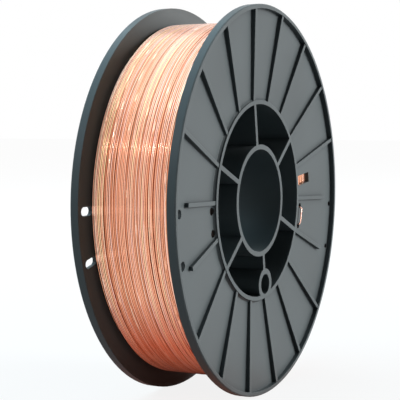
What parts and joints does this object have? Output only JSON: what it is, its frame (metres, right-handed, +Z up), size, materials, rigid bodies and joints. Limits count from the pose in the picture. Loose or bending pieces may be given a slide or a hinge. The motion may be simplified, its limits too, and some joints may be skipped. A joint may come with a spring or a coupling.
{
  "type": "mig welding wire spool",
  "caption": "Moulded plastic spool with ribbed flanges, spoked hub, spindle bore and drive pin hole, wound with copper-coated welding wire.",
  "frame": {"origin": "on the spool's axis, halfway between the two rim planes", "axes": "+Y along the spool's axis, from the front flange, which the picture shows, to the rear flange; +Z up; the front flange's drive pin hole lies at 278.2 degrees, anticlockwise from +X as seen from the front"},
  "size_m": [0.2, 0.055, 0.2],
  "materials": {
    "spool_plastic": "dark grey moulded polystyrene, satin",
    "copper_coated_wire": "bright copper coating on drawn steel wire"
  },
  "bodies": {
    "root": {"spool": "spool_plastic", "wire_coil": "copper_coated_wire", "wire_start_loop": "copper_coated_wire"}
  },
  "joints": []
}
